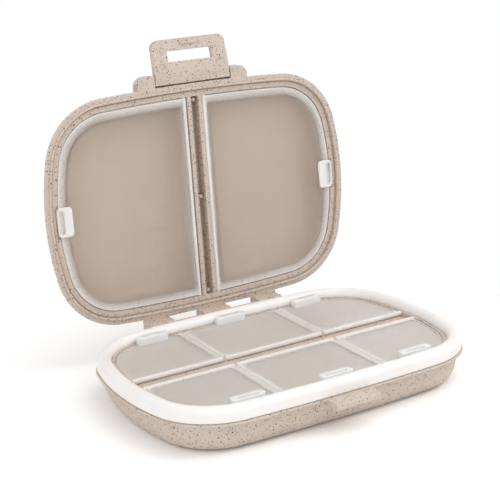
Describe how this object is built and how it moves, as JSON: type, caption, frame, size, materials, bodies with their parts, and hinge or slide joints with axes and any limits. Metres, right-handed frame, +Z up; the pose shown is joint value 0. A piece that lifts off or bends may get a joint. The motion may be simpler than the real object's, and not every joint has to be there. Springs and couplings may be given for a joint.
{
  "type": "medicine box",
  "caption": "Flat rounded travel pill box: tray of small compartments under clip-down doors, domed seal ring, hinged lid with its own doors, and a latch flap over a catch.",
  "frame": {"origin": "centre of the flat underside of the base tray", "axes": "+X along the long side, +Y towards the lid hinge, +Z up"},
  "size_m": [0.125, 0.1113, 0.1175],
  "materials": {
    "straw_plastic": "fine matte, dark flecks",
    "frosted_plastic": "frosted, translucent",
    "white_silicone": "smooth satin",
    "steel_pin": "drawn"
  },
  "bodies": {
    "base": {"base_shell": "straw_plastic", "seal_ring": "white_silicone", "lid_hinge_pin": "steel_pin"},
    "lid": {"lid_shell": "straw_plastic", "latch_hinge_pin": "steel_pin"},
    "latch": {"latch_flap": "straw_plastic"},
    "lid_door_left": {"lid_door_left": "frosted_plastic"},
    "lid_door_right": {"lid_door_right": "frosted_plastic"},
    "door_rear_left": {"door_rear_left": "frosted_plastic"},
    "door_rear_middle": {"door_rear_middle": "frosted_plastic"},
    "door_rear_right": {"door_rear_right": "frosted_plastic"},
    "door_front_left": {"door_front_left": "frosted_plastic"},
    "door_front_middle": {"door_front_middle": "frosted_plastic"},
    "door_front_right": {"door_front_right": "frosted_plastic"}
  },
  "joints": [
    {"name": "lid_hinge", "type": "hinge", "parent": "base", "child": "lid", "pos_m": [0, 0.04518, 0.01336], "axis": [-1, 0, 0], "range_deg": [-92.44, 80]},
    {"name": "latch_hinge", "type": "hinge", "parent": "lid", "child": "latch", "pos_m": [0, 0.05394, 0.10284], "axis": [-1, 0, 0], "range_deg": [-101, 0]},
    {"name": "lid_door_left_hinge", "type": "hinge", "parent": "lid", "child": "lid_door_left", "pos_m": [-0.004, 0.05254, 0.05827], "axis": [0, 0.0426, 0.9991], "range_deg": [0, 88]},
    {"name": "lid_door_right_hinge", "type": "hinge", "parent": "lid", "child": "lid_door_right", "pos_m": [0.004, 0.05254, 0.05827], "axis": [0, -0.0426, -0.9991], "range_deg": [0, 88]},
    {"name": "door_rear_left_hinge", "type": "hinge", "parent": "base", "child": "door_rear_left", "pos_m": [-0.037, 0.0039, 0.0133], "axis": [1, 0, 0], "range_deg": [0, 88]},
    {"name": "door_rear_middle_hinge", "type": "hinge", "parent": "base", "child": "door_rear_middle", "pos_m": [0, 0.0039, 0.0133], "axis": [1, 0, 0], "range_deg": [0, 88]},
    {"name": "door_rear_right_hinge", "type": "hinge", "parent": "base", "child": "door_rear_right", "pos_m": [0.037, 0.0039, 0.0133], "axis": [1, 0, 0], "range_deg": [0, 88]},
    {"name": "door_front_left_hinge", "type": "hinge", "parent": "base", "child": "door_front_left", "pos_m": [-0.037, -0.0039, 0.0133], "axis": [-1, 0, 0], "range_deg": [0, 88]},
    {"name": "door_front_middle_hinge", "type": "hinge", "parent": "base", "child": "door_front_middle", "pos_m": [0, -0.0039, 0.0133], "axis": [-1, 0, 0], "range_deg": [0, 88]},
    {"name": "door_front_right_hinge", "type": "hinge", "parent": "base", "child": "door_front_right", "pos_m": [0.037, -0.0039, 0.0133], "axis": [-1, 0, 0], "range_deg": [0, 88]}
  ]
}
